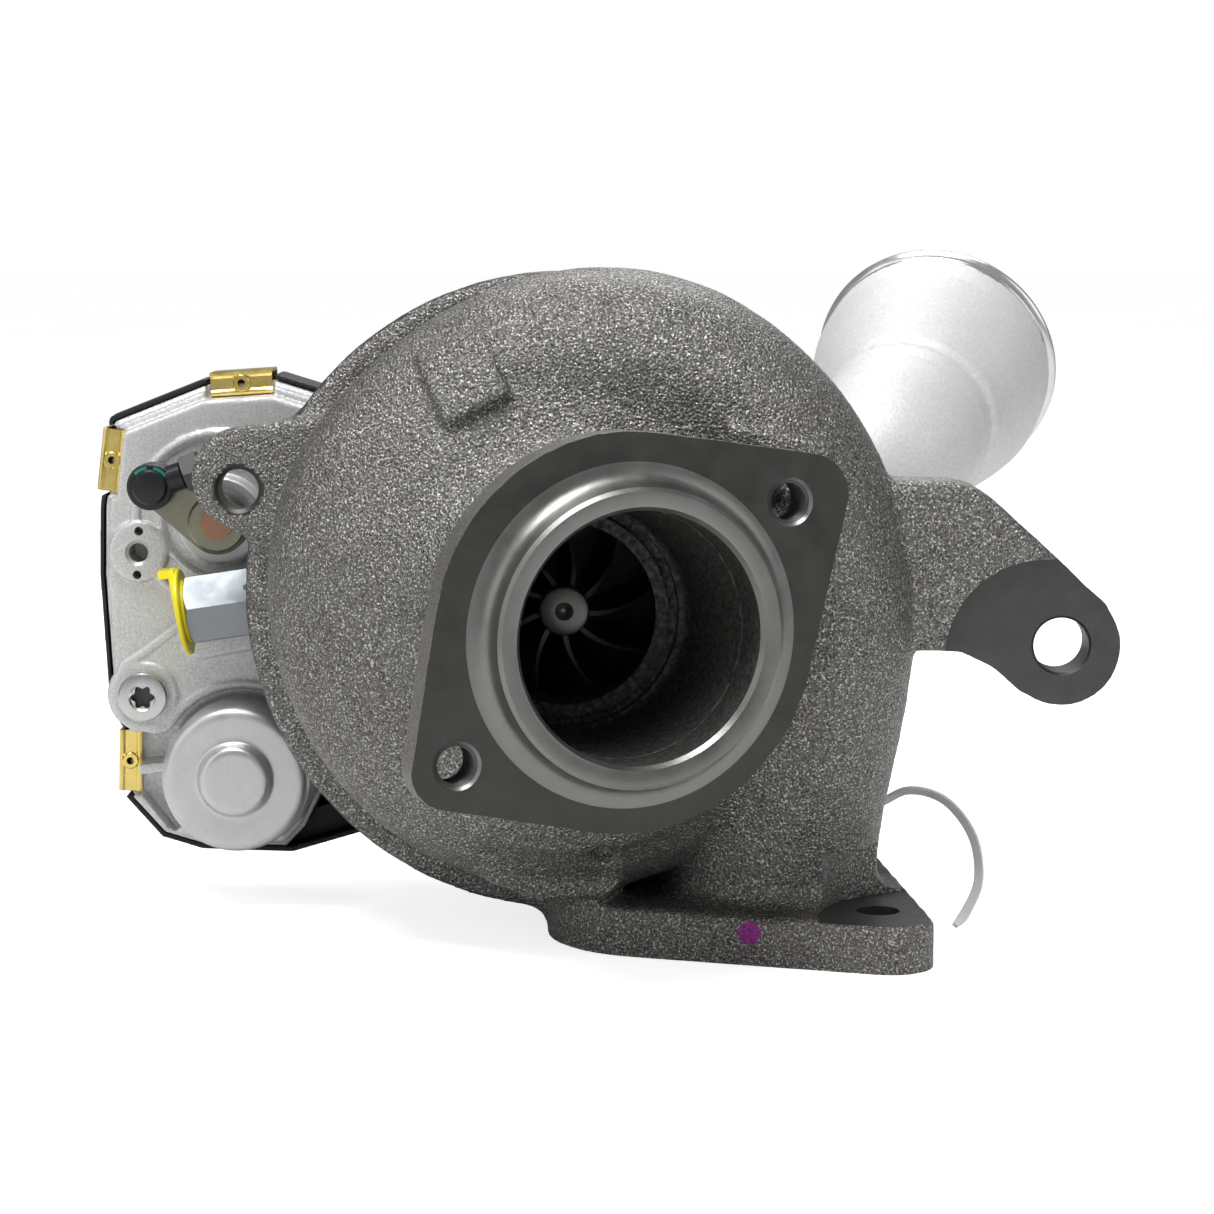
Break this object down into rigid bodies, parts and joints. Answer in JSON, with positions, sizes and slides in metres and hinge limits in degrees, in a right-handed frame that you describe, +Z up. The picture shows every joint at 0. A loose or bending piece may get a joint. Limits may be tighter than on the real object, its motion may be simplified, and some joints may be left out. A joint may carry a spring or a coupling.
{
  "type": "turbocharger",
  "caption": "Turbocharger with a swinging-vane turbine nozzle, electric rotary actuator and link rod, angled exhaust outlet flange, foot inlet flange and elbowed air outlet.",
  "frame": {"origin": "centre of the turbine inlet port on the foot's bottom face", "axes": "+Z up out of the foot into the scroll, +Y along the rotor axis from the turbine to the compressor, +X to the right seen from the turbine outlet side"},
  "size_m": [0.2644, 0.262, 0.1688],
  "materials": {
    "cast_iron": "sand-cast, machined on its faces",
    "iron_centre": "sand-cast, darker",
    "heat_steel": "heat-resistant steel, dull",
    "wheel_alloy": "dark investment-cast alloy",
    "steel": "machined steel",
    "dark_steel": "phosphated steel",
    "zinc_steel": "bright zinc plate",
    "bronze": "bearing bronze",
    "copper": "copper washer",
    "aluminium_cast": "pale shot-blasted casting",
    "aluminium_diecast": "matt die casting",
    "aluminium_milled": "five-axis milled",
    "black_plastic": "matt moulded",
    "rubber_seal": "smooth",
    "gold_clip": "yellow passivated spring steel",
    "yellow_plastic": "soft moulded",
    "board": "circuit board",
    "gear_plastic": "moulded gear",
    "clear_nylon": "translucent nylon"
  },
  "bodies": {
    "casing": {"turbine_housing": "cast_iron", "nozzle_shroud": "heat_steel", "nozzle_ring": "heat_steel", "nozzle_spacers": "heat_steel", "ring_guide_pins": "heat_steel", "crank_bush": "bronze", "heat_shield": "heat_steel", "turbine_bolts": "dark_steel", "turbine_piston_ring": "steel", "bearing_housing": "iron_centre", "journal_bearing": "bronze", "bearing_pin": "steel", "thrust_bearing": "bronze", "seal_plate": "aluminium_diecast", "seal_plate_o_ring": "rubber_seal", "compressor_piston_ring": "steel", "oil_inlet_fitting": "zinc_steel", "oil_fitting_washer": "copper", "compressor_housing": "aluminium_cast", "compressor_bolts": "steel", "actuator_housing": "aluminium_diecast", "actuator_cover": "black_plastic", "actuator_gasket": "rubber_seal", "cover_clips": "gold_clip", "connector_pins": "gold_clip", "control_board": "board", "motor_can": "steel", "idler_pin": "steel", "output_bush": "bronze", "actuator_screws": "steel", "actuator_bracket": "aluminium_diecast", "bracket_bolts": "steel", "cable_tie": "clear_nylon"},
    "rotor": {"turbine_wheel_shaft": "wheel_alloy", "thrust_collar": "steel", "oil_flinger": "steel", "compressor_wheel": "aluminium_milled", "compressor_nut": "steel"},
    "actuator_output": {"output_gear_shaft": "gear_plastic", "actuator_lever": "dark_steel", "actuator_ball_stud": "steel"},
    "rod": {"link_rod": "black_plastic", "lock_nut": "dark_steel"},
    "crank": {"crank_shaft": "heat_steel", "crank_lever": "dark_steel", "crank_ball_stud": "steel"},
    "unison": {"unison_ring": "heat_steel"},
    "idler": {"idler_gear": "gear_plastic"},
    "motor": {"motor_rotor_pinion": "steel"},
    "oil_cap": {"oil_inlet_cap": "yellow_plastic"},
    "vane_01": {"vane_01": "heat_steel"},
    "vane_02": {"vane_02": "heat_steel"},
    "vane_03": {"vane_03": "heat_steel"},
    "vane_04": {"vane_04": "heat_steel"},
    "vane_05": {"vane_05": "heat_steel"},
    "vane_06": {"vane_06": "heat_steel"},
    "vane_07": {"vane_07": "heat_steel"},
    "vane_08": {"vane_08": "heat_steel"},
    "vane_09": {"vane_09": "heat_steel"}
  },
  "joints": [
    {"name": "rotor_spin", "type": "hinge", "parent": "casing", "child": "rotor", "pos_m": [-0.048, 0.026, 0.085], "axis": [0, 1, 0], "continuous": true},
    {"name": "actuator_turn", "type": "hinge", "parent": "casing", "child": "actuator_output", "pos_m": [-0.138, 0.032, 0.1], "axis": [0, 1, 0], "range_deg": [-20, 20]},
    {"name": "rod_pivot", "type": "hinge", "parent": "actuator_output", "child": "rod", "pos_m": [-0.1538, 0.0235, 0.1101], "axis": [0, 1, 0], "range_deg": [-20.5, 20.5]},
    {"name": "crank_turn", "type": "hinge", "parent": "casing", "child": "crank", "pos_m": [-0.09571, 0.016, 0.11539], "axis": [0, 1, 0], "range_deg": [-20.5, 20.5]},
    {"name": "unison_turn", "type": "hinge", "parent": "casing", "child": "unison", "pos_m": [-0.048, 0.0025, 0.085], "axis": [0, 1, 0], "range_deg": [-4, 4]},
    {"name": "idler_turn", "type": "hinge", "parent": "casing", "child": "idler", "pos_m": [-0.12882, 0.046, 0.05748], "axis": [0, 1, 0], "range_deg": [-78, 78]},
    {"name": "motor_turn", "type": "hinge", "parent": "casing", "child": "motor", "pos_m": [-0.1332, 0.032, 0.0349], "axis": [0, 1, 0], "range_deg": [-280, 280]},
    {"name": "oil_cap_pull", "type": "slide", "parent": "casing", "child": "oil_cap", "axis": [-0.989, 0, -0.1478], "range_m": [0, 0.03]},
    {"name": "vane_01_turn", "type": "hinge", "parent": "casing", "child": "vane_01", "pos_m": [-0.01231, -0.004, 0.0897], "axis": [0, 1, 0], "range_deg": [-20.5, 20.5]},
    {"name": "vane_02_turn", "type": "hinge", "parent": "casing", "child": "vane_02", "pos_m": [-0.02368, -0.004, 0.11154], "axis": [0, 1, 0], "range_deg": [-20.5, 20.5]},
    {"name": "vane_03_turn", "type": "hinge", "parent": "casing", "child": "vane_03", "pos_m": [-0.04643, -0.004, 0.12097], "axis": [0, 1, 0], "range_deg": [-20.5, 20.5]},
    {"name": "vane_04_turn", "type": "hinge", "parent": "casing", "child": "vane_04", "pos_m": [-0.06992, -0.004, 0.11356], "axis": [0, 1, 0], "range_deg": [-20.5, 20.5]},
    {"name": "vane_05_turn", "type": "hinge", "parent": "casing", "child": "vane_05", "pos_m": [-0.08315, -0.004, 0.09279], "axis": [0, 1, 0], "range_deg": [-20.5, 20.5]},
    {"name": "vane_06_turn", "type": "hinge", "parent": "casing", "child": "vane_06", "pos_m": [-0.07993, -0.004, 0.06838], "axis": [0, 1, 0], "range_deg": [-20.5, 20.5]},
    {"name": "vane_07_turn", "type": "hinge", "parent": "casing", "child": "vane_07", "pos_m": [-0.06178, -0.004, 0.05174], "axis": [0, 1, 0], "range_deg": [-20.5, 20.5]},
    {"name": "vane_08_turn", "type": "hinge", "parent": "casing", "child": "vane_08", "pos_m": [-0.03717, -0.004, 0.05067], "axis": [0, 1, 0], "range_deg": [-20.5, 20.5]},
    {"name": "vane_09_turn", "type": "hinge", "parent": "casing", "child": "vane_09", "pos_m": [-0.01764, -0.004, 0.06566], "axis": [0, 1, 0], "range_deg": [-20.5, 20.5]}
  ],
  "couplings": [
    {"joint": "rod_pivot", "follows": "actuator_turn", "ratio": -1},
    {"joint": "crank_turn", "follows": "actuator_turn", "ratio": 1},
    {"joint": "unison_turn", "follows": "actuator_turn", "ratio": -0.17682},
    {"joint": "idler_turn", "follows": "actuator_turn", "ratio": -3.8333},
    {"joint": "motor_turn", "follows": "actuator_turn", "ratio": 13.8},
    {"joint": "vane_01_turn", "follows": "actuator_turn", "ratio": -0.97253},
    {"joint": "vane_02_turn", "follows": "actuator_turn", "ratio": -0.97253},
    {"joint": "vane_03_turn", "follows": "actuator_turn", "ratio": -0.97253},
    {"joint": "vane_04_turn", "follows": "actuator_turn", "ratio": -0.97253},
    {"joint": "vane_05_turn", "follows": "actuator_turn", "ratio": -0.97253},
    {"joint": "vane_06_turn", "follows": "actuator_turn", "ratio": -0.97253},
    {"joint": "vane_07_turn", "follows": "actuator_turn", "ratio": -0.97253},
    {"joint": "vane_08_turn", "follows": "actuator_turn", "ratio": -0.97253},
    {"joint": "vane_09_turn", "follows": "actuator_turn", "ratio": -0.97253}
  ]
}
